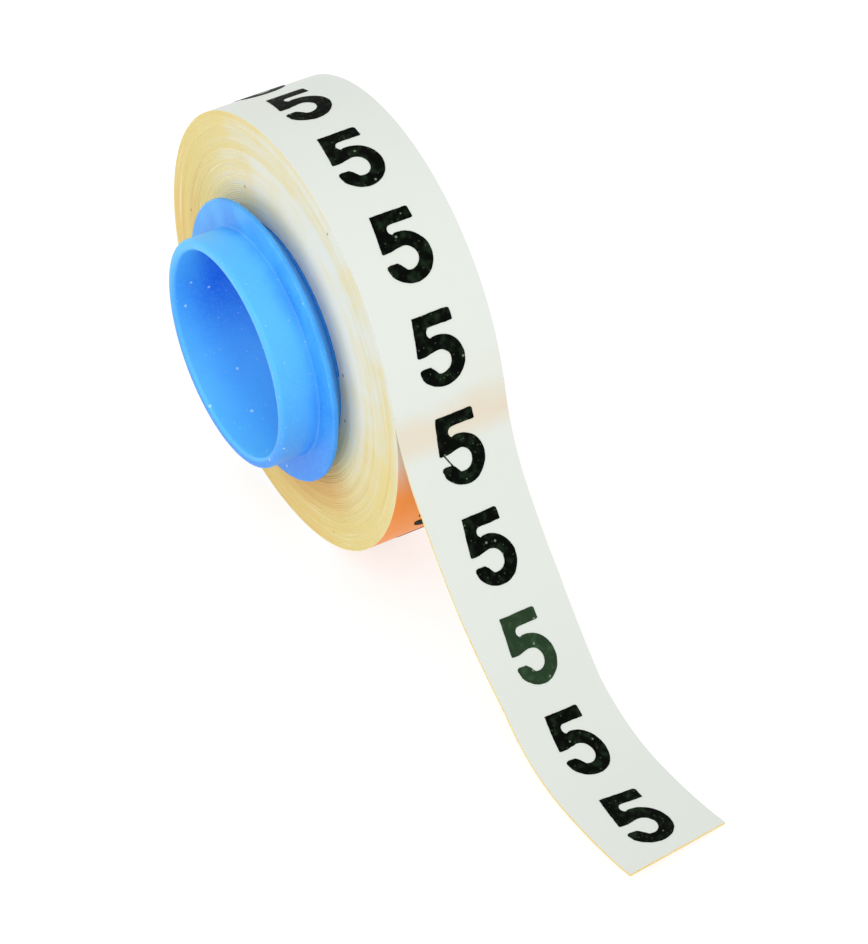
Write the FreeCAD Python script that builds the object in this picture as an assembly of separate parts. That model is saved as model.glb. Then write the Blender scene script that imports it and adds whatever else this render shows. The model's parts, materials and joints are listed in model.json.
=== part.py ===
import FreeCAD, Part
import math
import os

# Roll of numbered marker tape on a flanged plastic core. Millimetres and degrees.
# The roll's axis is Y, and the origin is on it at mid tape width. The core's collar stands out
# towards -Y, the free tail leaves towards +X, and Z is up.

# Tape
tape_width = 5.46
tape_thickness = 0.10
ink_thickness = 0.03
roll_radius = 10.5
label_pitch = 4.68

# Core
bore_radius = 4.9
core_wall = 0.52
collar_length = 2.93
rear_lip = 0.15
lip_round = 0.18
flange_radius = 6.7
flange_front = 1.07
flange_rim = 0.17
flange_chamfer = 0.08
flange_clearance = 0.05

# Free tail, label by label from the roll to the torn end
peel_angle = 14.8
label_turns = (22.5, 6.2, 5.4, 37.0, 13.9)
edge_twists = (0.0, 6.6, 7.9, 13.8, 7.8, 3.9)
tail_drift = 0.95
tear_overhang = 0.16
tear_skew = 0.88
spans_per_label = 4

# Numeral, drawn upright around its own centre
numeral_height = 3.32
bowl_radius = 1.16
stroke = 0.64
bar_height = 0.58
bar_reach = 0.94
stem_top = 0.89
stem_foot = 1.06
stem_width = 0.55
shoulder_drop = 0.06
bowl_start = 100.0
bowl_end = -158.0

barrel_radius = bore_radius + core_wall
half_width = tape_width / 2
label_count = len(label_turns)
tail_length = label_count * label_pitch
film_radius = roll_radius - tape_thickness / 2
core_axis = FreeCAD.Vector(0, 1, 0)


def along_arc(x, z, heading, turn, distance):
    """Go a distance along an arc in the XZ plane that turns this much in each label pitch."""
    rate = turn / label_pitch
    end = heading + rate * distance
    x += (math.sin(end) - math.sin(heading)) / rate
    z -= (math.cos(end) - math.cos(heading)) / rate
    return x, z, end


def edge_twist(distance):
    """Twist of the film about its run, in radians, which changes evenly between label edges."""
    place = min(max(distance / label_pitch, 0.0), label_count)
    index = min(int(place), label_count - 1)
    share = place - index
    return math.radians(edge_twists[index] * (1 - share) + edge_twists[index + 1] * share)


def film_frame(distance):
    """Centre, run, cross and printed-side directions of the tail at a distance from the peel line."""
    peel = math.radians(peel_angle)
    x = film_radius * math.cos(peel)
    z = film_radius * math.sin(peel)
    heading = peel - math.pi / 2
    index = min(int(distance / label_pitch + 1e-9), label_count - 1)
    for turn in label_turns[:index]:
        x, z, heading = along_arc(x, z, heading, math.radians(turn), label_pitch)
    rest = distance - index * label_pitch
    x, z, heading = along_arc(x, z, heading, math.radians(label_turns[index]), rest)
    run = FreeCAD.Vector(math.cos(heading), 0, math.sin(heading))
    flat_normal = FreeCAD.Vector(-math.sin(heading), 0, math.cos(heading))
    twist = edge_twist(distance)
    cross = core_axis * math.cos(twist) - flat_normal * math.sin(twist)
    normal = core_axis * math.sin(twist) + flat_normal * math.cos(twist)
    centre = FreeCAD.Vector(x, tail_drift * (distance / tail_length) ** 2, z)
    return centre, run, cross, normal


def strip_section(distance, low, high):
    """Rectangle across the tail, between two heights above the film's middle."""
    centre, run, cross, normal = film_frame(distance)
    corners = []
    for side, height in ((-half_width, low), (half_width, low), (half_width, high), (-half_width, high)):
        corners.append(centre + cross * side + normal * height)
    return Part.makePolygon(corners + corners[:1])


def strip_solid(start, end, low, high):
    """Solid strip of the tail from one distance to another, between two heights."""
    sections = []
    for step in range(spans_per_label + 1):
        distance = start + (end - start) * step / spans_per_label
        sections.append(strip_section(distance, low, high))
    return Part.makeLoft(sections, True, False)


def local_placement(centre, cross, up, normal):
    """Placement that takes X, Y and Z to the three given directions at a point."""
    matrix = FreeCAD.Matrix(
        cross.x, up.x, normal.x, centre.x,
        cross.y, up.y, normal.y, centre.y,
        cross.z, up.z, normal.z, centre.z,
        0, 0, 0, 1)
    return FreeCAD.Placement(matrix)


def prism(points, depth):
    """Prism from a flat outline, centred on its plane."""
    corners = [FreeCAD.Vector(x, y, -depth / 2) for x, y in points]
    face = Part.Face(Part.makePolygon(corners + corners[:1]))
    return face.extrude(FreeCAD.Vector(0, 0, depth))


def numeral_prism(depth):
    """The numeral five: a top bar, a stem that leans outwards, a shoulder and an open round bowl."""
    top = numeral_height / 2
    bowl_y = bowl_radius - top
    shoulder_top = bowl_y + bowl_radius - shoulder_drop
    foot_y = bowl_y + bowl_radius - stroke
    bar = prism([(-stem_top, top - bar_height), (bar_reach, top - bar_height), (bar_reach, top),
                 (-stem_top, top)], depth)
    stem = prism([(-stem_top, top), (-stem_foot, foot_y), (-stem_foot + stem_width, foot_y),
                  (-stem_top + stem_width, top)], depth)
    shoulder = prism([(-stem_foot + stem_width / 2, foot_y), (0, foot_y), (0, shoulder_top),
                      (-stem_foot + stem_width / 2, shoulder_top)], depth)
    low = FreeCAD.Vector(0, bowl_y, -depth / 2)
    up = FreeCAD.Vector(0, 0, 1)
    bowl = Part.makeCylinder(bowl_radius, depth, low, up, bowl_start - bowl_end)
    bowl.rotate(low, up, bowl_end)
    bowl = bowl.cut(Part.makeCylinder(bowl_radius - stroke, depth, low, up))
    end = math.radians(bowl_end)
    middle = bowl_radius - stroke / 2
    tip = low + FreeCAD.Vector(middle * math.cos(end), middle * math.sin(end), 0)
    hook = Part.makeCylinder(stroke / 2, depth, tip, up)
    return bar.fuse([stem, shoulder, bowl, hook]).removeSplitter()


def core():
    """One moulding: barrel, collar on the near side, and a flange that stands clear of the tape."""
    near = -half_width
    mouth = near - collar_length
    front = near - flange_front
    root = near - flange_clearance
    back = front + flange_chamfer + flange_rim
    profile = [
        (bore_radius, mouth), (barrel_radius, mouth), (barrel_radius, front),
        (flange_radius - flange_chamfer, front), (flange_radius, front + flange_chamfer),
        (flange_radius, min(back, root)), (barrel_radius, root),
        (barrel_radius, half_width + rear_lip), (bore_radius, half_width + rear_lip)]
    corners = [FreeCAD.Vector(radius, y, 0) for radius, y in profile]
    face = Part.Face(Part.makePolygon(corners + corners[:1]))
    solid = face.revolve(FreeCAD.Vector(0, 0, 0), core_axis, 360)
    lips = []
    for edge in solid.Edges:
        y = edge.BoundBox.Center.y
        if edge.BoundBox.YLength < 1e-6 and abs(y - mouth) < 1e-6:
            lips.append(edge)
    return solid.makeFillet(lip_round, lips)


def outer_arcs():
    """Centre and radius of the two half turns that bound the wound tape, from the peel line round."""
    peel = math.radians(peel_angle)
    outward = FreeCAD.Vector(math.cos(peel), 0, math.sin(peel))
    shift = tape_thickness / 4
    return ((outward * shift, roll_radius - shift), (outward * -shift, roll_radius - 3 * shift))


def half_disc(centre, radius, turn):
    """Half of a disc as wide as the tape, which starts at the peel line plus a turn."""
    disc = Part.makeCylinder(radius, tape_width, FreeCAD.Vector(0, 0, 0), FreeCAD.Vector(0, 0, 1), 180)
    angle = math.radians(peel_angle + turn)
    start = FreeCAD.Vector(math.cos(angle), 0, math.sin(angle))
    onward = FreeCAD.Vector(-math.sin(angle), 0, math.cos(angle))
    disc.Placement = local_placement(centre + core_axis * half_width, start, onward, -core_axis)
    return disc


def wound_tape():
    """The wound turns as one ring, with a step of one tape thickness at the peel line."""
    first, second = outer_arcs()
    ring = half_disc(first[0], first[1], 0).fuse(half_disc(second[0], second[1], 180))
    hole = Part.makeCylinder(barrel_radius, tape_width, core_axis * -half_width, core_axis)
    return ring.cut(hole).removeSplitter()


def wound_numerals():
    """The numerals printed around the outer turn, one for each label that the turn holds."""
    pitch_angle = math.degrees(label_pitch / roll_radius)
    count = int(360 / pitch_angle)
    solids = []
    for index in range(count):
        turn = pitch_angle * (index + 0.5)
        centre, radius = outer_arcs()[0 if turn < 180 else 1]
        angle = math.radians(peel_angle + turn)
        outward = FreeCAD.Vector(math.cos(angle), 0, math.sin(angle))
        upstream = FreeCAD.Vector(-math.sin(angle), 0, math.cos(angle))
        base = centre - core_axis * half_width
        shell = Part.makeCylinder(radius + ink_thickness, tape_width, base, core_axis)
        shell = shell.cut(Part.makeCylinder(radius, tape_width, base, core_axis))
        glyph = numeral_prism(numeral_height)
        glyph.Placement = local_placement(centre + outward * radius, core_axis, upstream, outward)
        solids.extend(shell.common(glyph).Solids)
    return Part.makeCompound(solids)


def torn_end():
    """Block that takes off the film beyond the slanting tear line of the last label."""
    centre, run, cross, normal = film_frame(tail_length + tear_overhang)
    depth = tape_width
    outline = [(-tape_width, tear_skew), (tape_width, -tear_skew), (tape_width, depth), (-tape_width, depth)]
    block = prism(outline, depth)
    block.Placement = local_placement(centre, cross, run, cross.cross(run))
    return block


def tail_label(index):
    """One label length of the free film, up to its edge with the next one."""
    start = index * label_pitch
    low = -tape_thickness / 2
    high = tape_thickness / 2
    if index < label_count - 1:
        return strip_solid(start, start + label_pitch, low, high)
    end = tail_length + tear_overhang + tear_skew
    return strip_solid(start, end, low, high).cut(torn_end())


def tail_numeral(index):
    """The numeral on one label of the tail, in the ink's own thin layer."""
    start = index * label_pitch
    low = tape_thickness / 2
    end = start + label_pitch
    if index == label_count - 1:
        end = tail_length + tear_overhang + tear_skew
    layer = strip_solid(start, end, low, low + ink_thickness)
    centre, run, cross, normal = film_frame(start + label_pitch / 2)
    glyph = numeral_prism(numeral_height)
    glyph.Placement = local_placement(centre, cross, -run, normal)
    return layer.common(glyph)


def save(name, shape):
    """Write one sub-part and print its volume."""
    if not shape.isValid() or shape.Volume <= 0:
        raise RuntimeError(name + " is not a valid solid")
    shape.exportStep("parts/" + name + ".step")
    print(name, len(shape.Solids), round(shape.Volume, 4))


def main():
    os.makedirs("parts", exist_ok=True)
    save("core", core())
    save("wound_tape", wound_tape())
    save("wound_numerals", wound_numerals())
    for index in range(label_count):
        save("tail_label_" + str(index + 1), tail_label(index))
        save("tail_numeral_" + str(index + 1), tail_numeral(index))


main()
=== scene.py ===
import json
import math

import bmesh
import bpy
from mathutils import Matrix, Quaternion, Vector, noise


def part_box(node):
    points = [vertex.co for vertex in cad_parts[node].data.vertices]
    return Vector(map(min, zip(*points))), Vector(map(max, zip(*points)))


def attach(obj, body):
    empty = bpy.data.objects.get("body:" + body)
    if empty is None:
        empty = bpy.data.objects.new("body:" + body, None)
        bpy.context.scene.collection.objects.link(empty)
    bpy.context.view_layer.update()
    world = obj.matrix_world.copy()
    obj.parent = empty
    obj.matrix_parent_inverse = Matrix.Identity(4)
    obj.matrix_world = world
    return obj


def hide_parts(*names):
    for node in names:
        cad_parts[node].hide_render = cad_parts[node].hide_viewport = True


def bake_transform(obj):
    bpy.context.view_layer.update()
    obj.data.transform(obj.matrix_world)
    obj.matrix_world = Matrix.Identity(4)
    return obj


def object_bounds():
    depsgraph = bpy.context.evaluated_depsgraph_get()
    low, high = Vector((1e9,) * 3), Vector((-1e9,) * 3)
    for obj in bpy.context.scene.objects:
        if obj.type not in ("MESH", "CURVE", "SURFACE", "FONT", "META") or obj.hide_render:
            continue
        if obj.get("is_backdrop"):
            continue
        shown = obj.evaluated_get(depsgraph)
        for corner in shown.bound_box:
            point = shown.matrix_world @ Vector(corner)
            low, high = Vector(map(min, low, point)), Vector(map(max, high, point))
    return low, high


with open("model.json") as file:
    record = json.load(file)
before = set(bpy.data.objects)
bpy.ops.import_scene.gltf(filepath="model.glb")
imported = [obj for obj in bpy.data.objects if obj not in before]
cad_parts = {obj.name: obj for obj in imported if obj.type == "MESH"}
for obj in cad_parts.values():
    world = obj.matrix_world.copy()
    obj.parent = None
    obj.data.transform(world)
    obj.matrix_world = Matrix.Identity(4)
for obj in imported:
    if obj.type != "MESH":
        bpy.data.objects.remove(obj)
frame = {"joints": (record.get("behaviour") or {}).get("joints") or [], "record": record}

bl_info = {
    "name": "Numbered tape roll",
    "version": (1, 0, 0),
    "blender": (4, 5, 0),
    "location": "View3D > Sidebar > Tape roll",
    "description": "Builds a roll of numbered marker tape on a flanged plastic core",
    "category": "Add Mesh",
}

# Every length in this script is in metres, and MM turns millimetres into metres.
MM = 0.001

# Places that come from the frame
TAPE_LOW, TAPE_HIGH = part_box("wound_tape")
HALF_WIDTH = (TAPE_HIGH.y - TAPE_LOW.y) / 2
CORE_LOW, CORE_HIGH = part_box("core")
BORE_RADIUS = frame["record"]["mounts"][0]["dims"]["r_mm"] * MM
PEEL_POINT = Vector(frame["record"]["behaviour"]["joints"][0]["pos_m"])
ROLL_RADIUS = math.hypot(PEEL_POINT.x, PEEL_POINT.z)
PEEL_ANGLE = math.atan2(PEEL_POINT.z, PEEL_POINT.x)
LABEL_COUNT = len(frame["joints"])

# The free tail's shape: how far each label turns and the twist at each label's edge, in degrees,
# how far the tail drifts sideways, and how its torn end slants.
LABEL_PITCH = 4.68 * MM
LABEL_TURNS = (22.5, 6.2, 5.4, 37.0, 13.9)
EDGE_TWISTS = (0.0, 6.6, 7.9, 13.8, 7.8, 3.9)
TAIL_LENGTH = LABEL_COUNT * LABEL_PITCH
TAIL_DRIFT = 0.95 * MM
TEAR_OVERHANG = 0.16 * MM
TEAR_SKEW = 0.88 * MM

# The print sits a little low on its label, and off the tape's middle by a little on each.
PRINT_DROP = 0.05 * MM
PRINT_SHIFTS = (0.03 * MM, -0.07 * MM, -0.09 * MM, -0.07 * MM, -0.17 * MM)

# Edges that turn by more than this are shaded as corners.
SHARP_ANGLE = math.radians(35)

# The third label's print is worn, and the first one has a thread of ink across its open bowl.
WORN_LABEL = 2
THREAD_HALF = (0, -1)
THREAD_ENDS = (Vector((-0.86, -0.08, 0)) * MM, Vector((-0.55, -0.68, 0)) * MM)
THREAD_WIDTH = 0.06 * MM

# Numerals: the height that the outline is drawn at, the rows they are cut into so that they lie on a
# curve, and how far the ones on the outer turn stand from its middle.
OUTLINE_HEIGHT = 3.32
NUMERAL_ROWS = 26
WOUND_SHIFT = -0.05 * MM

# Clearance between the flange's root and the tape
FLANGE_GAP = 0.05 * MM

# Vertices nearer than these are one: on the core, on the spiral's start and end, and on a numeral's cut
CORE_WELD = 0.0001 * MM
SPIRAL_WELD = 0.0005 * MM
CUT_REACH = 0.0002 * MM


class TapeSettings(bpy.types.PropertyGroup):
    """Sizes and colours of the tape."""

    thickness: bpy.props.FloatProperty(
        name="Thickness", description="Thickness of one turn of tape", default=0.1 * MM, unit="LENGTH")
    edge_wander: bpy.props.FloatProperty(
        name="Edge wander", description="How far a turn's edge may lie in from the roll's side",
        default=0.03 * MM, unit="LENGTH")
    groove: bpy.props.FloatProperty(
        name="Groove", description="Depth of the line between two turns", default=0.012 * MM, unit="LENGTH")
    turn_segments: bpy.props.IntProperty(
        name="Segments", description="Steps in each turn of the roll", default=180, min=24)
    span: bpy.props.FloatProperty(
        name="Span", description="Length of one step along the free film", default=0.1 * MM, unit="LENGTH")
    film: bpy.props.FloatVectorProperty(
        name="Film", description="Colour of the film's face", default=(0.68, 0.715, 0.67), subtype="COLOR")
    cream: bpy.props.FloatVectorProperty(
        name="Cream", description="Colour of the film's cut edge", default=(0.72, 0.585, 0.19),
        subtype="COLOR")
    # Painted shade: amber for the shade under the tail and on the far side of the cut edges.
    amber: bpy.props.FloatVectorProperty(
        name="Amber", description="Colour of the film's aged places", default=(0.86, 0.25, 0.006),
        subtype="COLOR")
    adhesive: bpy.props.FloatVectorProperty(
        name="Adhesive", description="Colour of the film's sticky back", default=(0.66, 0.58, 0.40),
        subtype="COLOR")


class CoreSettings(bpy.types.PropertyGroup):
    """Sizes and colours of the core."""

    wall: bpy.props.FloatProperty(
        name="Wall", description="Wall of the barrel and collar", default=0.52 * MM, unit="LENGTH")
    lip: bpy.props.FloatProperty(
        name="Lip", description="Rounding of the collar's mouth", default=0.2 * MM, unit="LENGTH")
    flange_front: bpy.props.FloatProperty(
        name="Flange front", description="How far the flange's face stands out from the tape",
        default=1.07 * MM, unit="LENGTH")
    flange_round: bpy.props.FloatProperty(
        name="Flange rounding", description="Rounding of the flange's front edge", default=0.09 * MM,
        unit="LENGTH")
    flange_rim: bpy.props.FloatProperty(
        name="Flange rim", description="Thickness of the flange's edge", default=0.25 * MM, unit="LENGTH")
    segments: bpy.props.IntProperty(
        name="Segments", description="Steps round the core", default=144, min=24)
    plastic: bpy.props.FloatVectorProperty(
        name="Plastic", description="Colour of the moulding", default=(0.018, 0.255, 0.82), subtype="COLOR")
    # Painted highlight: colour for the paler top of the collar.
    pale: bpy.props.FloatVectorProperty(
        name="Pale", description="Colour where the wall stands free", default=(0.085, 0.49, 0.95),
        subtype="COLOR")
    # Painted shade: colour for the deeper shade inside the bore.
    deep: bpy.props.FloatVectorProperty(
        name="Deep", description="Colour inside the bore", default=(0.004, 0.11, 0.74), subtype="COLOR")


class PrintSettings(bpy.types.PropertyGroup):
    """Sizes and colours of the printed numerals."""

    height: bpy.props.FloatProperty(
        name="Height", description="Height of a numeral", default=3.32 * MM, unit="LENGTH")
    layer: bpy.props.FloatProperty(
        name="Layer", description="Thickness of the ink", default=0.02 * MM, unit="LENGTH")
    rag: bpy.props.FloatProperty(
        name="Rag", description="How far the ink's edge wanders", default=0.022 * MM, unit="LENGTH")
    step: bpy.props.FloatProperty(
        name="Step", description="Length of one step along the ink's edge", default=0.06 * MM, unit="LENGTH")
    ink: bpy.props.FloatVectorProperty(
        name="Ink", description="Colour of the ink", default=(0.0010, 0.0016, 0.0008), subtype="COLOR")


class StageSettings(bpy.types.PropertyGroup):
    """Camera, floor and lights."""

    azimuth: bpy.props.FloatProperty(
        name="Azimuth", description="Direction the camera looks from", default=math.radians(61.2),
        subtype="ANGLE")
    elevation: bpy.props.FloatProperty(
        name="Elevation", description="Height of the camera's view", default=math.radians(40.03),
        subtype="ANGLE")
    roll: bpy.props.FloatProperty(
        name="Roll", description="Turn of the camera about its own line of sight",
        default=math.radians(0.53), subtype="ANGLE")
    distance: bpy.props.FloatProperty(
        name="Distance", description="From the roll's centre to the camera", default=157.75 * MM,
        unit="LENGTH")
    lens: bpy.props.FloatProperty(
        name="Lens", description="Focal length in millimetres", default=132.81)
    target: bpy.props.FloatVectorProperty(
        name="Target", description="Point the camera looks at", default=(6.224 * MM, 1.603 * MM, -5.488 * MM),
        subtype="XYZ", unit="LENGTH")
    floor: bpy.props.FloatVectorProperty(
        name="Floor", description="Colour of the floor", default=(0.40, 0.40, 0.40), subtype="COLOR")


def arc_point(x, z, heading, turn, distance):
    """Go a distance along an arc in the XZ plane that turns this much in each label pitch."""
    rate = turn / LABEL_PITCH
    end = heading + rate * distance
    x += (math.sin(end) - math.sin(heading)) / rate
    z -= (math.cos(end) - math.cos(heading)) / rate
    return x, z, end


def film_frame(distance, thickness):
    """Centre, run, cross and printed-side directions of the free film at a distance from the peel."""
    radius = ROLL_RADIUS - thickness / 2
    x = radius * math.cos(PEEL_ANGLE)
    z = radius * math.sin(PEEL_ANGLE)
    heading = PEEL_ANGLE - math.pi / 2
    index = min(max(int(distance / LABEL_PITCH), 0), LABEL_COUNT - 1)
    for turn in LABEL_TURNS[:index]:
        x, z, heading = arc_point(x, z, heading, math.radians(turn), LABEL_PITCH)
    rest = distance - index * LABEL_PITCH
    x, z, heading = arc_point(x, z, heading, math.radians(LABEL_TURNS[index]), rest)
    share = min(rest / LABEL_PITCH, 1.0)
    twist = math.radians(EDGE_TWISTS[index] * (1 - share) + EDGE_TWISTS[index + 1] * share)
    run = Vector((math.cos(heading), 0, math.sin(heading)))
    flat_normal = Vector((-math.sin(heading), 0, math.cos(heading)))
    cross = Vector((0, math.cos(twist), 0)) - flat_normal * math.sin(twist)
    normal = Vector((0, math.sin(twist), 0)) + flat_normal * math.cos(twist)
    centre = Vector((x, TAIL_DRIFT * (distance / TAIL_LENGTH) ** 2, z))
    return centre, run, cross, normal


def on_film(across, distance, height, thickness):
    """Point on the free film, at a height above its printed face."""
    centre, run, cross, normal = film_frame(distance, thickness)
    return centre + cross * across + normal * (thickness / 2 + height)


def on_roll(across, back, height, thickness):
    """Point on the outer turn, a distance back along the tape from the peel line."""
    turn = back / ROLL_RADIUS
    radius = ROLL_RADIUS - thickness * turn / math.tau + height
    angle = PEEL_ANGLE + turn
    return Vector((radius * math.cos(angle), across, radius * math.sin(angle)))


def across_hinge(index, thickness):
    """The two bodies that a hinge joins, and where the film starts and stops turning between them."""
    before = "roll" if index == 0 else "tail_" + str(index)
    hinge = index * LABEL_PITCH
    start = film_frame(max(hinge - LABEL_PITCH / 2, 0.0), thickness)[0]
    end = film_frame(hinge + LABEL_PITCH / 2, thickness)[0]
    return before, "tail_" + str(index + 1), start, end


def finish_piece(bm, name, materials, body, nodes):
    """Turn a bmesh into a shaded piece, parented to its body's empty when the body is a name and left in
    place otherwise, and hide the CAD nodes it stands for.
    """
    # Laying a piece on the free film mirrors it, which turns its faces inwards.
    if bm.calc_volume(signed=True) < 0:
        bmesh.ops.reverse_faces(bm, faces=bm.faces)
    for edge in bm.edges:
        edge.smooth = not (edge.is_manifold and edge.calc_face_angle() > SHARP_ANGLE)
    for face in bm.faces:
        face.smooth = True
    mesh = bpy.data.meshes.new(name)
    bm.to_mesh(mesh)
    bm.free()
    for material in materials:
        mesh.materials.append(material)
    piece = bpy.data.objects.new(name, mesh)
    bpy.context.scene.collection.objects.link(piece)
    if isinstance(body, str):
        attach(piece, body)
    else:
        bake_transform(piece)
    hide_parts(*nodes)
    return piece


# Materials ------------------------------------------------------------------------------------

# Colours of a material's own details, and of the painted light and painted shade in some materials
LIT_BLUE = (0.11, 0.56, 0.98)
GRAIN_BLUE = (0.16, 0.58, 1.0)
DUST_BLUE = (0.65, 0.90, 1.0)
GREY_GRAIN = (0.5, 0.53, 0.55)
PEEL_SHADE_TAN = (0.70, 0.60, 0.45)
PAINTED_LIGHT_WHITE = (0.97, 0.95, 0.80)
OCHRE = (0.60, 0.43, 0.11)
PALE_CREAM = (0.90, 0.84, 0.58)
FLANGE_SHADOW_BROWN = (0.68, 0.36, 0.07)
SPECK_BROWN = (0.20, 0.12, 0.04)
VOID_CREAM = (0.72, 0.69, 0.58)
THIN_INK = (0.035, 0.075, 0.035)
FLECK_INK = (0.08, 0.12, 0.06)
PINHOLE = (0.25, 0.33, 0.22)

class Shader:
    """Small helper that adds nodes to one material and links them."""

    def __init__(self, name, colour, roughness, scale=1000.0):
        self.material = bpy.data.materials.new(name)
        self.material.use_nodes = True
        self.nodes = self.material.node_tree.nodes
        self.links = self.material.node_tree.links
        self.base = self.nodes["Principled BSDF"]
        self.base.inputs["Base Color"].default_value = (*colour, 1)
        self.base.inputs["Roughness"].default_value = roughness
        coords = self.nodes.new("ShaderNodeTexCoord")
        mapping = self.nodes.new("ShaderNodeMapping")
        mapping.inputs["Scale"].default_value = (scale, scale, scale)
        self.links.new(coords.outputs["Object"], mapping.inputs["Vector"])
        self.place = mapping.outputs["Vector"]

    def add(self, kind, inputs=None, **settings):
        """Add a node; inputs are values or sockets by name or number."""
        node = self.nodes.new(kind)
        for key, value in settings.items():
            setattr(node, key, value)
        for key, value in (inputs or {}).items():
            if isinstance(value, bpy.types.NodeSocket):
                self.links.new(value, node.inputs[key])
            else:
                node.inputs[key].default_value = value
        return node

    def noise(self, scale, detail=2.0, place=None):
        """Noise value at a scale given in features for each millimetre."""
        node = self.add("ShaderNodeTexNoise", {
            "Vector": place or self.place, "Scale": scale, "Detail": detail})
        return node.outputs["Fac"]

    def math(self, operation, first, second=0.0, third=0.0):
        """One arithmetic step."""
        node = self.add("ShaderNodeMath", {0: first, 1: second, 2: third}, operation=operation)
        return node.outputs[0]

    def times(self, first, second):
        """Product of two values."""
        return self.math("MULTIPLY", first, second)

    def band(self, value, low, high):
        """Value taken from the range low to high onto 0 to 1, with soft ends."""
        node = self.add("ShaderNodeMapRange", {
            "Value": value, "From Min": low, "From Max": high}, interpolation_type="SMOOTHSTEP")
        return node.outputs["Result"]

    def mix(self, factor, first, second):
        """Blend of two colours."""
        first = (*first, 1) if isinstance(first, (tuple, list)) and len(first) == 3 else first
        second = (*second, 1) if isinstance(second, (tuple, list)) and len(second) == 3 else second
        node = self.add("ShaderNodeMix", {0: factor, 6: first, 7: second}, data_type="RGBA")
        return node.outputs[2]

    def axes(self, place):
        """X, Y and Z of a place."""
        parts = self.add("ShaderNodeSeparateXYZ", {"Vector": place})
        return [parts.outputs[axis] for axis in "XYZ"]

    def from_axis(self, x, z):
        """Vector square to the roll's axis, out to a place at these two coordinates."""
        return self.add("ShaderNodeCombineXYZ", {"X": x, "Z": z}).outputs["Vector"]

    def length(self, vector):
        """Length of a vector."""
        return self.add("ShaderNodeVectorMath", {0: vector}, operation="LENGTH").outputs["Value"]

    def dot(self, vector, direction):
        """Dot product of a vector and a fixed direction."""
        node = self.add("ShaderNodeVectorMath", {0: vector, 1: direction}, operation="DOT_PRODUCT")
        return node.outputs["Value"]

    def specks(self, scale, size, share):
        """Mask of scattered small specks: their spacing, size, and how many of the cells hold one."""
        cells = self.add("ShaderNodeTexVoronoi", {"Vector": self.place, "Scale": scale})
        dot = self.band(cells.outputs["Distance"], size, size * 0.6)
        parts = self.add("ShaderNodeSeparateColor", {"Color": cells.outputs["Color"]})
        chosen = self.math("LESS_THAN", parts.outputs[0], share)
        return self.times(dot, chosen)

    def colour(self, socket):
        """Use a socket as the base colour."""
        self.links.new(socket, self.base.inputs["Base Color"])

    def roughness(self, scale, low, high):
        """Roughness that varies between two values, with noise at a scale."""
        node = self.add("ShaderNodeMapRange", {
            "Value": self.noise(scale, 3.0), "To Min": low, "To Max": high})
        self.links.new(node.outputs["Result"], self.base.inputs["Roughness"])

    def scatter(self, weight, radius, scale):
        """Light that enters the surface: how much, how far each colour goes, and its scale in metres."""
        self.base.inputs["Subsurface Weight"].default_value = weight
        self.base.inputs["Subsurface Radius"].default_value = radius
        self.base.inputs["Subsurface Scale"].default_value = scale

    def specular(self, level):
        """Strength of the surface reflection, 0.5 for common plastics."""
        self.base.inputs["Specular IOR Level"].default_value = level

    def bump(self, socket, depth, strength=1.0):
        """Relief of the given depth in metres."""
        node = self.add("ShaderNodeBump", {"Height": socket, "Distance": depth, "Strength": strength})
        self.links.new(node.outputs["Normal"], self.base.inputs["Normal"])


def waxy_plastic(plastic, pale, deep):
    """Waxy moulded plastic: painted light makes the collar paler towards its top and the lower bore lighter,
    and painted shade deepens the bore further in and towards its top.
    """
    shader = Shader("waxy_plastic", plastic, 0.42)
    x, y, z = shader.axes(shader.place)
    mottle = shader.math("MULTIPLY_ADD", shader.noise(0.5, 3.0), 1.6, -0.8)
    along = shader.math("ADD", y, mottle)
    upward = shader.math("ADD", z, mottle)
    # Painted highlight: the collar is paler towards its top, where light falls on it.
    painted_light_collar = shader.times(shader.band(along, -3.0, -4.6), shader.band(upward, -5.0, 4.5))
    body = shader.mix(painted_light_collar, plastic, pale)
    bore = BORE_RADIUS / MM
    inside = shader.band(shader.length(shader.from_axis(x, z)), bore + 0.25, bore)
    # Painted light: the lower part of the bore is lighter, as if lit through its mouth.
    lit = shader.times(shader.band(upward, 1.5, -4.5), inside)
    body = shader.mix(lit, body, LIT_BLUE)
    # Painted shade: a deep blue inside the bore, darker further in and towards its top.
    height = shader.math("MULTIPLY_ADD", shader.band(upward, -4.5, 3.0), 0.75, 0.25)
    shade = shader.times(shader.band(along, -5.9, -3.0), height)
    body = shader.mix(shader.times(shade, inside), body, deep)
    grain = shader.noise(12.0, 3.0)
    body = shader.mix(shader.times(shader.band(grain, 0.45, 0.75), 0.25), body, GRAIN_BLUE)
    dust = shader.specks(1.0, 0.10, 0.22)
    body = shader.mix(shader.times(dust, 0.6), body, DUST_BLUE)
    flecks = shader.specks(2.6, 0.13, 0.5)
    shader.colour(shader.mix(shader.times(flecks, 0.22), body, DUST_BLUE))
    shader.roughness(3.0, 0.36, 0.54)
    shader.bump(grain, 0.006 * MM, 0.5)
    shader.scatter(0.3, (0.15, 0.45, 1.0), 0.4 * MM)
    shader.specular(0.4)
    return shader.material


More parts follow.
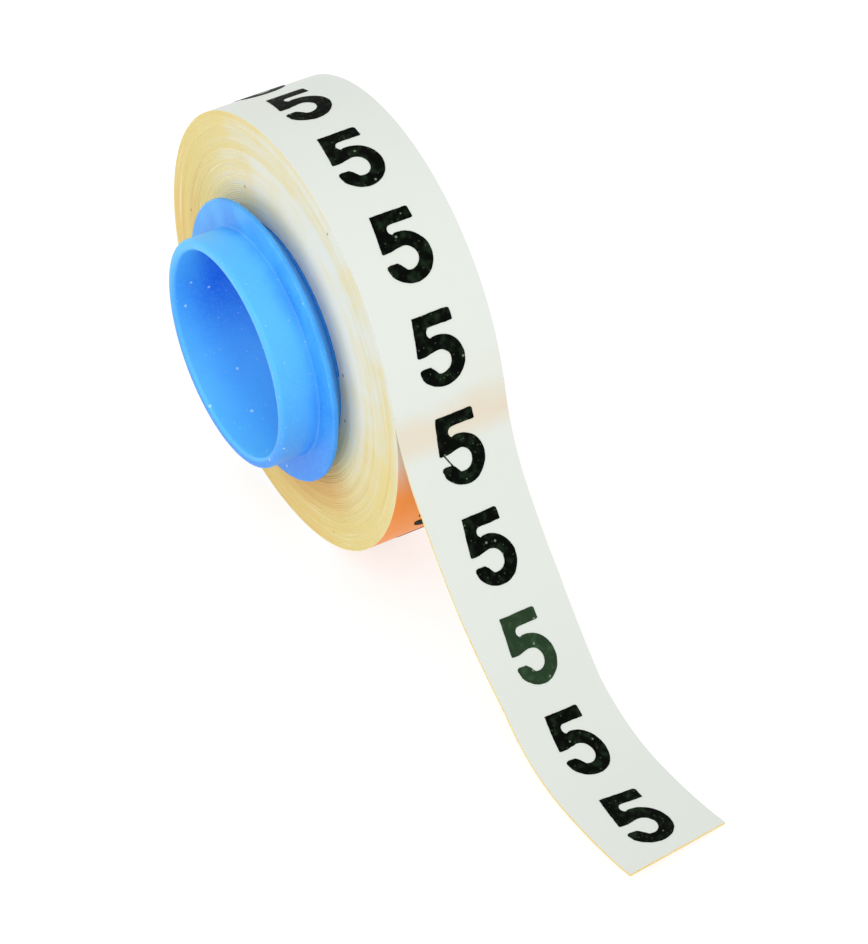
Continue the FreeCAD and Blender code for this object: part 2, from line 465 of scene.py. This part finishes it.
def film_face(film, warm, amber):
    """Satin white printing face, with a painted warm shade where the film lifts off the roll and a painted
    amber shade on the roll under the tail.
    """
    shader = Shader("film_face", film, 0.38)
    blotch = shader.band(shader.noise(0.35, 3.0), 0.5, 0.8)
    body = shader.mix(shader.times(blotch, 0.08), film, warm)
    grain = shader.noise(9.0, 4.0)
    body = shader.mix(shader.times(shader.band(grain, 0.55, 0.75), 0.06), body, GREY_GRAIN)
    # Painted shade: a warm tan band across the film where it lifts off the roll.
    run = (math.sin(PEEL_ANGLE), 0.0, -math.cos(PEEL_ANGLE))
    past_peel = shader.math("SUBTRACT", shader.dot(shader.place, run), 1.7)
    wobble = shader.math("MULTIPLY_ADD", shader.noise(0.5, 3.0), 1.2, past_peel)
    peel_shade = shader.band(shader.math("ABSOLUTE", wobble), 1.5, 0.1)
    body = shader.mix(shader.times(peel_shade, 0.7), body, PEEL_SHADE_TAN)
    x, y, z = shader.axes(shader.place)
    wound = shader.math("LESS_THAN", shader.length(shader.from_axis(x, z)), ROLL_RADIUS / MM + 0.1)
    # Painted shade: amber on the lower outer turn, in the shade under the tail.
    low = shader.times(shader.band(z, 2.0, -2.5), shader.band(x, 2.0, 6.0))
    shader.colour(shader.mix(shader.times(low, wound), body, amber))
    shader.roughness(2.0, 0.34, 0.50)
    shader.bump(grain, 0.002 * MM, 0.4)
    shader.specular(0.3)
    return shader.material


def ring_noise(shader, way, radius, rings_per_mm, along):
    """Noise in fine rings round the roll: how many for each millimetre, and how much it varies along them."""
    bent = shader.add("ShaderNodeVectorMath", {0: way, "Scale": along}, operation="SCALE")
    spread = shader.add("ShaderNodeCombineXYZ", {"Y": shader.times(radius, rings_per_mm)})
    place = shader.add("ShaderNodeVectorMath", {
        0: bent.outputs["Vector"], 1: spread.outputs["Vector"]}, operation="ADD")
    return shader.noise(1.0, 3.0, place.outputs["Vector"])


def film_edge(film, cream, amber):
    """Cut edges of the wound turns: fine rings of white and cream, with painted shade deepening them to amber
    away from the light, a painted highlight near the core and a painted shadow under the flange.
    """
    shader = Shader("film_edge", cream, 0.5)
    x, y, z = shader.axes(shader.place)
    flat = shader.from_axis(x, z)
    radius = shader.length(flat)
    way = shader.add("ShaderNodeVectorMath", {0: flat}, operation="NORMALIZE").outputs["Vector"]
    coarse = ring_noise(shader, way, radius, 2.6, 0.6)
    fine = ring_noise(shader, way, radius, 8.0, 2.5)
    # Painted shade: the edge turns from white to cream with distance from the side facing the light and
    # towards the outside; the cream is also the edge's own colour, and rings and blotches vary it at random.
    toward_light = shader.dot(way, (0.64, 0.0, 0.77))
    away = shader.math("MULTIPLY_ADD", toward_light, -0.5, 0.27)
    away = shader.math("MULTIPLY_ADD", radius, 0.032, away)
    away = shader.math("MULTIPLY_ADD", shader.band(coarse, 0.35, 0.7), 0.22, away)
    away = shader.math("MULTIPLY_ADD", shader.band(fine, 0.4, 0.75), 0.12, away)
    blotch = shader.band(shader.noise(0.5, 3.0), 0.35, 0.7)
    away = shader.math("MULTIPLY_ADD", blotch, 0.15, away)
    body = shader.mix(shader.band(away, 0.12, 0.66), film, cream)
    # Painted light: whiter towards the core on the side facing the light, lifting the shade beside the
    # flange.
    painted_light_near_core = shader.math("MULTIPLY_ADD", shader.band(radius, 9.5, 6.8), 0.3, 0.06)
    body = shader.mix(shader.times(painted_light_near_core, shader.band(toward_light, -0.5, 0.4)), body, PAINTED_LIGHT_WHITE)
    # Painted shade: a deeper tan towards amber on the side furthest from the light.
    shade_tan = tuple(Vector(cream).lerp(Vector(amber), 0.25))
    body = shader.mix(shader.times(shader.band(away, 0.8, 1.3), 0.8), body, shade_tan)
    # The ochre and pale ring streaks are the edge's own colour, made stronger on the painted-shade side.
    shadowed = shader.band(away, 0.35, 0.95)
    ochre = shader.times(shader.band(coarse, 0.52, 0.74), shader.times(shadowed, 0.6))
    body = shader.mix(ochre, body, OCHRE)
    pale = shader.times(shader.band(fine, 0.56, 0.72), shader.times(shadowed, 0.4))
    body = shader.mix(pale, body, PALE_CREAM)
    # Painted shadow: brown below the flange at the bottom of the roll's side, near the core.
    under = shader.band(shader.dot(way, (0.26, 0.0, -0.97)), 0.72, 0.98)
    flange_shadow = shader.times(under, shader.band(radius, 9.6, 7.0))
    flange_shadow = shader.times(flange_shadow, shader.math("MULTIPLY_ADD", blotch, 0.3, 0.8))
    body = shader.mix(flange_shadow, body, FLANGE_SHADOW_BROWN)
    specks = shader.specks(0.9, 0.09, 0.35)
    shader.colour(shader.mix(shader.times(specks, 0.7), body, SPECK_BROWN))
    shader.bump(fine, 0.006 * MM, 0.5)
    shader.scatter(0.2, (1.0, 0.7, 0.3), 0.3 * MM)
    return shader.material


def film_back(adhesive):
    """Sticky back of the film: a slightly glossy cream coat with small voids."""
    shader = Shader("film_back", adhesive, 0.3)
    voids = shader.band(shader.noise(1.6, 4.0), 0.55, 0.7)
    shader.colour(shader.mix(shader.times(voids, 0.5), adhesive, VOID_CREAM))
    shader.bump(voids, 0.008 * MM, 0.6)
    return shader.material


def printed_ink(name, ink, worn):
    """Black ink, mottled by the film's grain, with small pinholes; worn is how pale it is."""
    shader = Shader(name, ink, 0.55)
    cloud = shader.band(shader.noise(2.5, 4.0), 0.45, 0.75)
    thin = shader.math("MULTIPLY_ADD", cloud, 0.25 + 0.3 * worn, worn)
    body = shader.mix(thin, ink, THIN_INK)
    fleck = shader.specks(6.0, 0.30, 0.25)
    body = shader.mix(shader.times(fleck, 0.35), body, FLECK_INK)
    holes = shader.specks(2.4, 0.17, 0.5)
    shader.colour(shader.mix(shader.times(holes, 0.6), body, PINHOLE))
    shader.bump(shader.noise(8.0, 4.0), 0.006 * MM, 0.5)
    shader.specular(0.03)
    return shader.material


def shared_material(name, make, *arguments):
    """The material of that name, made the first time it is asked for."""
    return bpy.data.materials.get(name) or make(*arguments)


def tape_materials(tape):
    """Printing face, cut edge and sticky back, in the order of the face indices."""
    return (
        shared_material("film_face", film_face, tuple(tape.film), tuple(tape.cream), tuple(tape.amber)),
        shared_material("film_edge", film_edge, tuple(tape.film), tuple(tape.cream), tuple(tape.amber)),
        shared_material("film_back", film_back, tuple(tape.adhesive)),
    )


FACE, EDGE, BACK = range(3)


# Pieces ---------------------------------------------------------------------------------------

def arc(centre, radius, start, end, steps):
    """Points along an arc, with angles in degrees."""
    points = []
    for step in range(steps + 1):
        angle = math.radians(start + (end - start) * step / steps)
        points.append((centre[0] + radius * math.cos(angle), centre[1] + radius * math.sin(angle)))
    return points


def profile_chain(bm, points, closed):
    """Vertices and edges of a profile whose points are radius and place along the roll's axis."""
    verts = [bm.verts.new((radius, y, 0)) for radius, y in points]
    edges = [bm.edges.new(pair) for pair in zip(verts, verts[1:])]
    if closed:
        edges.append(bm.edges.new((verts[-1], verts[0])))
    return verts, edges


def core_profile(core):
    """Outline of the core's wall, as radius and place along the axis, from the bore at the mouth."""
    outer = BORE_RADIUS + core.wall
    mouth = CORE_LOW.y
    rear = CORE_HIGH.y
    lip = core.lip
    front = -HALF_WIDTH - core.flange_front
    edge = core.flange_round
    back = front + core.flange_rim
    flange = CORE_HIGH.x
    soft = 0.12 * MM         # fillet between the collar and the flange
    points = arc((BORE_RADIUS + lip, mouth + lip), lip, 180, 270, 6)
    points += arc((outer - lip, mouth + lip), lip, 270, 360, 6)
    points += arc((outer + soft, front - soft), soft, 180, 90, 4)
    points += arc((flange - edge, front + edge), edge, 270, 360, 6)
    points += arc((flange - edge / 2, back - edge / 2), edge / 2, 0, 60, 3)
    points += [(outer, -HALF_WIDTH - FLANGE_GAP), (outer, rear - lip / 2)]
    points += arc((outer - lip / 2, rear - lip / 2), lip / 2, 0, 90, 3)
    points += arc((BORE_RADIUS + lip / 2, rear - lip / 2), lip / 2, 90, 180, 3)
    return points


class TAPEROLL_OT_core(bpy.types.Operator):
    """Add the moulded core: barrel, collar and flange"""

    bl_idname = "taperoll.core"
    bl_label = "Core"
    bl_options = {"REGISTER", "UNDO"}

    def execute(self, context):
        core = context.scene.taperoll_core
        bm = bmesh.new()
        verts, edges = profile_chain(bm, core_profile(core), closed=True)
        bmesh.ops.spin(
            bm, geom=verts + edges, cent=(0, 0, 0), axis=(0, 1, 0), angle=math.tau,
            steps=core.segments, use_merge=True, use_duplicate=False)
        bmesh.ops.remove_doubles(bm, verts=bm.verts, dist=CORE_WELD)
        bmesh.ops.recalc_face_normals(bm, faces=bm.faces)
        plastic = shared_material(
            "waxy_plastic", waxy_plastic, tuple(core.plastic), tuple(core.pale), tuple(core.deep))
        finish_piece(bm, "core_moulding", [plastic], "roll", ["core"])
        return {"FINISHED"}


def turn_profile(bm, tape, turns, turn_layer):
    """Outline of the wound tape at the peel line, with a groove between each two turns."""
    inner = ROLL_RADIUS - turns * tape.thickness
    rows = []
    for turn in range(turns):
        outer = ROLL_RADIUS - turn * tape.thickness
        rows.append((outer, tape.groove, turn))
        rows.append((outer - tape.thickness * 0.28, 0.0, turn))
        rows.append((outer - tape.thickness * 0.72, 0.0, turn))
    rows.append((inner, tape.groove, turns))
    chain = []
    for radius, inset, turn in reversed(rows):
        chain.append((radius, inset - HALF_WIDTH, turn))
    chain += [(radius, HALF_WIDTH - inset, turn) for radius, inset, turn in rows]
    verts, edges = profile_chain(bm, [(radius, y) for radius, y, turn in chain], closed=True)
    for vert, (radius, y, turn) in zip(verts, chain):
        vert[turn_layer] = turn
    return verts, edges


class TAPEROLL_OT_wound_tape(bpy.types.Operator):
    """Add the wound tape as one spiral of real turns"""

    bl_idname = "taperoll.wound_tape"
    bl_label = "Wound tape"
    bl_options = {"REGISTER", "UNDO"}

    def execute(self, context):
        tape = context.scene.taperoll_tape
        barrel = BORE_RADIUS + context.scene.taperoll_core.wall
        turns = int((ROLL_RADIUS - barrel) / tape.thickness)
        bm = bmesh.new()
        turn_layer = bm.verts.layers.int.new("turn")
        verts, edges = turn_profile(bm, tape, turns, turn_layer)
        bmesh.ops.rotate(bm, verts=verts, cent=(0, 0, 0), matrix=Matrix.Rotation(-PEEL_ANGLE, 3, "Y"))
        spun = bmesh.ops.spin(
            bm, geom=verts + edges, cent=(0, 0, 0), axis=(0, -1, 0), angle=math.tau,
            steps=tape.turn_segments, use_merge=False, use_duplicate=False)
        last = {item for item in spun["geom_last"] if isinstance(item, bmesh.types.BMVert)}
        for vert in bm.verts:
            self.wind(vert, vert in last, tape, vert[turn_layer])
        bmesh.ops.remove_doubles(bm, verts=bm.verts, dist=SPIRAL_WELD)
        bmesh.ops.holes_fill(bm, edges=[edge for edge in bm.edges if edge.is_boundary], sides=0)
        bmesh.ops.recalc_face_normals(bm, faces=bm.faces)
        for face in bm.faces:
            face.material_index = EDGE if abs(face.normal.y) > 0.3 else FACE
        finish_piece(bm, "wound_turns", tape_materials(tape), "roll", ["wound_tape"])
        return {"FINISHED"}

    @staticmethod
    def wind(vert, is_end, tape, turn):
        """Move a vertex of the plain ring onto the spiral, and let its turn's edge wander."""
        angle = math.atan2(vert.co.z, vert.co.x) - PEEL_ANGLE
        angle %= math.tau
        if is_end:
            angle = math.tau
        elif angle > math.tau - 1e-5:
            angle = 0.0
        radius = math.hypot(vert.co.x, vert.co.z)
        share = (radius - tape.thickness * angle / math.tau) / radius
        vert.co.x *= share
        vert.co.z *= share
        path = turn + angle / math.tau
        side = math.copysign(1.0, vert.co.y)
        wander = noise.noise(Vector((path * 1.7, side * 9.0, 0)))
        wander += noise.noise(Vector((path * 0.23, side * 5.0, 3)))
        vert.co.y -= side * tape.edge_wander * min(max(0.5 + 0.5 * wander, 0.0), 1.0)


class TAPEROLL_OT_tail(bpy.types.Operator):
    """Add the free film, in pieces that each span one hinge"""

    bl_idname = "taperoll.tail"
    bl_label = "Free tail"
    bl_options = {"REGISTER", "UNDO"}

    def execute(self, context):
        tape = context.scene.taperoll_tape
        for index in range(LABEL_COUNT):
            start = max(index - 0.5, 0) * LABEL_PITCH
            end = (index + 0.5) * LABEL_PITCH
            self.strip(tape, index, start, end)
        return {"FINISHED"}

    def strip(self, tape, index, start, end):
        """One stretch of film, from the middle of one label to the middle of the next."""
        is_last = index == LABEL_COUNT - 1
        if is_last:
            end = TAIL_LENGTH + TEAR_OVERHANG
        steps = max(int((end - start) / tape.span), 8)
        bm = bmesh.new()
        bmesh.ops.create_grid(bm, x_segments=24, y_segments=steps, size=1.0)
        bmesh.ops.scale(bm, vec=(HALF_WIDTH, 0.5, 1.0), verts=bm.verts)
        bmesh.ops.translate(bm, vec=(0, 0.5, 0), verts=bm.verts)
        top = list(bm.faces)
        grown = bmesh.ops.extrude_face_region(bm, geom=top, use_keep_orig=True)
        lower = [item for item in grown["geom"] if isinstance(item, bmesh.types.BMVert)]
        bmesh.ops.translate(bm, vec=(0, 0, -tape.thickness), verts=lower)
        bmesh.ops.recalc_face_normals(bm, faces=bm.faces)
        for face in bm.faces:
            upright = face.normal.z
            face.material_index = FACE if upright > 0.5 else BACK if upright < -0.5 else EDGE
        for vert in bm.verts:
            across, share, height = vert.co
            reach = end - start
            if is_last:
                reach -= TEAR_SKEW / 2 * across / HALF_WIDTH
            vert.co = on_film(across, start + reach * share, height, tape.thickness)
        finish_piece(bm, "film_" + str(index + 1), tape_materials(tape), across_hinge(index, tape.thickness),
                     ["tail_label_" + str(index + 1)])


def numeral_outline():
    """Outline of the numeral five, in millimetres about its centre, at OUTLINE_HEIGHT."""
    points = [(-0.89, 1.66), (0.86, 1.66), (0.94, 1.59), (0.95, 1.10), (0.90, 1.07)]
    points += arc((-0.16, 0.83), 0.25, 90, 245, 9)
    points += arc((-0.03, -0.5), 1.16, 97, -150, 30)
    points += [(-1.11, -0.74), (-1.07, -0.65), (-0.95, -0.61), (-0.58, -0.62), (-0.43, -0.76)]
    points += arc((-0.06, -0.52), 0.53, -110, 95, 20)
    points += [(-0.42, -0.05), (-0.66, -0.10), (-1.03, -0.10), (-1.08, -0.05)]
    return points


def ragged_outline(settings, seed):
    """The numeral's outline at its size, in short steps that wander a little."""
    scale = settings.height / OUTLINE_HEIGHT
    corners = [Vector((x * scale, y * scale, 0)) for x, y in numeral_outline()]
    points = []
    for first, second in zip(corners, corners[1:] + corners[:1]):
        count = max(int((second - first).length / settings.step), 1)
        side = (second - first).cross(Vector((0, 0, 1))).normalized()
        for step in range(count):
            point = first.lerp(second, step / count)
            place = Vector((point.x, point.y, 0)) / MM * 5.0 + Vector((0, 0, seed * 7.3))
            wide = noise.noise(place * 0.22)
            points.append(point + side * settings.rag * (0.7 * noise.noise(place) + 0.8 * wide))
    return points


def ink_thread(bm, start, end, width, layer):
    """Thin thread of ink that the printing left between two points."""
    made = bmesh.ops.create_cube(bm, size=1.0)["verts"]
    run = end - start
    bmesh.ops.scale(bm, vec=(run.length, width, layer), verts=made)
    turn = Matrix.Rotation(math.atan2(run.y, run.x), 3, "Z")
    bmesh.ops.rotate(bm, verts=made, cent=(0, 0, 0), matrix=turn)
    bmesh.ops.translate(bm, vec=(start + end) / 2 + Vector((0, 0, layer / 2)), verts=made)


def cut_across(bm, level, side, clear):
    """Cut a flat mesh across at a level in Y, and clear the side away from this one if asked."""
    bmesh.ops.bisect_plane(
        bm, geom=list(bm.verts) + list(bm.edges) + list(bm.faces), dist=CUT_REACH,
        plane_co=(0, level, 0), plane_no=(0, side, 0), clear_inner=clear)


def numeral_solid(settings, seed, side=0):
    """Flat numeral with the ink's thickness, cut finely enough to lie on a curve.

    A side of 1 or -1 keeps only its upper or its lower half.
    """
    bm = bmesh.new()
    verts = [bm.verts.new(point) for point in ragged_outline(settings, seed)]
    edges = [bm.edges.new(pair) for pair in zip(verts, verts[1:] + verts[:1])]
    bmesh.ops.triangle_fill(bm, edges=edges, use_beauty=True, normal=(0, 0, 1))
    for row in range(1, NUMERAL_ROWS):
        cut_across(bm, settings.height * (row / NUMERAL_ROWS - 0.5), 1, False)
    if side:
        cut_across(bm, 0, side, True)
    grown = bmesh.ops.extrude_face_region(bm, geom=list(bm.faces), use_keep_orig=True)
    top = [item for item in grown["geom"] if isinstance(item, bmesh.types.BMVert)]
    bmesh.ops.translate(bm, vec=(0, 0, settings.layer), verts=top)
    bmesh.ops.recalc_face_normals(bm, faces=bm.faces)
    return bm


def add_mesh(whole, bm):
    """Add one bmesh's geometry to another, and free it."""
    part = bpy.data.meshes.new("part")
    bm.to_mesh(part)
    bm.free()
    whole.from_mesh(part)
    bpy.data.meshes.remove(part)


class TAPEROLL_OT_print(bpy.types.Operator):
    """Add the printed numerals, on the outer turn and on each label of the free film"""

    bl_idname = "taperoll.print"
    bl_label = "Print"
    bl_options = {"REGISTER", "UNDO"}

    def execute(self, context):
        settings = context.scene.taperoll_print
        thickness = context.scene.taperoll_tape.thickness
        ink = shared_material("fresh_ink", printed_ink, "fresh_ink", tuple(settings.ink), 0.0)
        worn = shared_material("worn_ink", printed_ink, "worn_ink", tuple(settings.ink), 0.55)
        for index in range(LABEL_COUNT):
            whole = bmesh.new()
            if index > 0:
                self.add_half(whole, settings, thickness, index - 1, -1)
            self.add_half(whole, settings, thickness, index, 0 if index == LABEL_COUNT - 1 else 1)
            number = str(index + 1)
            finish_piece(whole, "print_" + number, [ink, worn], across_hinge(index, thickness),
                         ["tail_numeral_" + number])
        self.wound_print(settings, thickness, ink)
        return {"FINISHED"}

    @staticmethod
    def add_half(whole, settings, thickness, label, side):
        """Half of one label's numeral, or the whole at a side of 0, laid on the free film."""
        bm = numeral_solid(settings, label, side)
        if (label, side) == THREAD_HALF:
            ink_thread(bm, *THREAD_ENDS, THREAD_WIDTH, settings.layer * 0.8)
        middle = (label + 0.5) * LABEL_PITCH + PRINT_DROP
        for vert in bm.verts:
            across, up, height = vert.co
            vert.co = on_film(across + PRINT_SHIFTS[label], middle - up, height, thickness)
        for face in bm.faces:
            face.material_index = int(label == WORN_LABEL)
        add_mesh(whole, bm)

    @staticmethod
    def wound_print(settings, thickness, ink):
        """The numerals round the outer turn, as one piece."""
        count = int(math.tau * ROLL_RADIUS / LABEL_PITCH)
        pitch = math.tau * ROLL_RADIUS / count
        whole = bmesh.new()
        for index in range(count):
            middle = (index + 0.5) * pitch - PRINT_DROP
            bm = numeral_solid(settings, index + LABEL_COUNT)
            for vert in bm.verts:
                across, up, height = vert.co
                vert.co = on_roll(across + WOUND_SHIFT, middle + up, height, thickness)
            add_mesh(whole, bm)
        finish_piece(whole, "wound_print", [ink], "roll", ["wound_numerals"])


class TAPEROLL_OT_stage(bpy.types.Operator):
    """Add the floor, the lights and the camera"""

    bl_idname = "taperoll.stage"
    bl_label = "Stage"
    bl_options = {"REGISTER", "UNDO"}

    def execute(self, context):
        stage = context.scene.taperoll_stage
        low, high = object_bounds()
        self.floor(stage, low.z)
        self.light("key", (0.112, -0.112, 0.193), 0.14, 0.17, (1.0, 1.0, 0.99))
        self.light("fill", (0.22, -0.07, 0.10), 0.20, 0.03, (1.0, 1.0, 1.0))
        self.world(context)
        self.camera(context, stage)
        context.scene.view_settings.view_transform = "Standard"
        return {"FINISHED"}

    @staticmethod
    def floor(stage, level):
        """Plain pale floor just under the roll."""
        bm = bmesh.new()
        bmesh.ops.create_grid(bm, x_segments=1, y_segments=1, size=1.5)
        bmesh.ops.translate(bm, vec=(0, 0, level), verts=bm.verts)
        mesh = bpy.data.meshes.new("floor")
        bm.to_mesh(mesh)
        bm.free()
        shader = Shader("floor", tuple(stage.floor), 0.9)
        shader.base.inputs["Emission Color"].default_value = (1, 1, 1, 1)
        shader.base.inputs["Emission Strength"].default_value = 0.66
        mesh.materials.append(shader.material)
        floor = bpy.data.objects.new("floor", mesh)
        bpy.context.scene.collection.objects.link(floor)
        floor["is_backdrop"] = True

    @staticmethod
    def light(name, place, size, power, colour):
        """Square soft light that faces the roll."""
        data = bpy.data.lights.new(name, "AREA")
        data.size = size
        data.energy = power
        data.color = colour
        lamp = bpy.data.objects.new(name, data)
        lamp.location = place
        lamp.rotation_mode = "QUATERNION"
        lamp.rotation_quaternion = (-Vector(place)).to_track_quat("-Z", "Y")
        bpy.context.scene.collection.objects.link(lamp)

    @staticmethod
    def world(context):
        """Even white surroundings."""
        world = bpy.data.worlds.new("studio")
        world.use_nodes = True
        background = world.node_tree.nodes["Background"]
        background.inputs["Color"].default_value = (1.0, 1.0, 1.0, 1)
        background.inputs["Strength"].default_value = 0.90
        context.scene.world = world

    @staticmethod
    def camera(context, stage):
        """Camera at its distance from the roll's centre, aimed at the target."""
        data = bpy.data.cameras.new("camera")
        data.sensor_width = 36.0
        data.lens = stage.lens
        data.clip_start = 1 * MM
        data.clip_end = 10.0
        camera = bpy.data.objects.new("camera", data)
        back = Vector((
            math.sin(stage.azimuth) * math.cos(stage.elevation),
            -math.cos(stage.azimuth) * math.cos(stage.elevation),
            math.sin(stage.elevation)))
        camera.location = back * stage.distance
        sight = Vector(stage.target) - camera.location
        camera.rotation_mode = "QUATERNION"
        camera.rotation_quaternion = sight.to_track_quat("-Z", "Y") @ Quaternion((0, 0, 1), stage.roll)
        context.scene.collection.objects.link(camera)
        context.scene.camera = camera


class TAPEROLL_PT_panel(bpy.types.Panel):
    """Lists the steps that build the roll"""

    bl_idname = "TAPEROLL_PT_panel"
    bl_label = "Tape roll"
    bl_space_type = "VIEW_3D"
    bl_region_type = "UI"
    bl_category = "Tape roll"

    def draw(self, context):
        for operator in OPERATORS:
            self.layout.operator(operator.bl_idname)
        for name in GROUPS:
            group = getattr(context.scene, name)
            box = self.layout.box()
            for key in group.__annotations__:
                box.prop(group, key)


OPERATORS = (TAPEROLL_OT_core, TAPEROLL_OT_wound_tape, TAPEROLL_OT_tail, TAPEROLL_OT_print, TAPEROLL_OT_stage)
GROUPS = {
    "taperoll_core": CoreSettings,
    "taperoll_tape": TapeSettings,
    "taperoll_print": PrintSettings,
    "taperoll_stage": StageSettings,
}


def register():
    for name, group in GROUPS.items():
        bpy.utils.register_class(group)
        setattr(bpy.types.Scene, name, bpy.props.PointerProperty(type=group))
    for item in (*OPERATORS, TAPEROLL_PT_panel):
        bpy.utils.register_class(item)


def unregister():
    for item in reversed((*OPERATORS, TAPEROLL_PT_panel)):
        bpy.utils.unregister_class(item)
    for name, group in GROUPS.items():
        delattr(bpy.types.Scene, name)
        bpy.utils.unregister_class(group)


def main():
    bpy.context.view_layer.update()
    register()
    bpy.ops.taperoll.core()
    bpy.ops.taperoll.wound_tape()
    bpy.ops.taperoll.tail()
    bpy.ops.taperoll.print()
    bpy.ops.taperoll.stage()


if __name__ == "__main__":
    main()
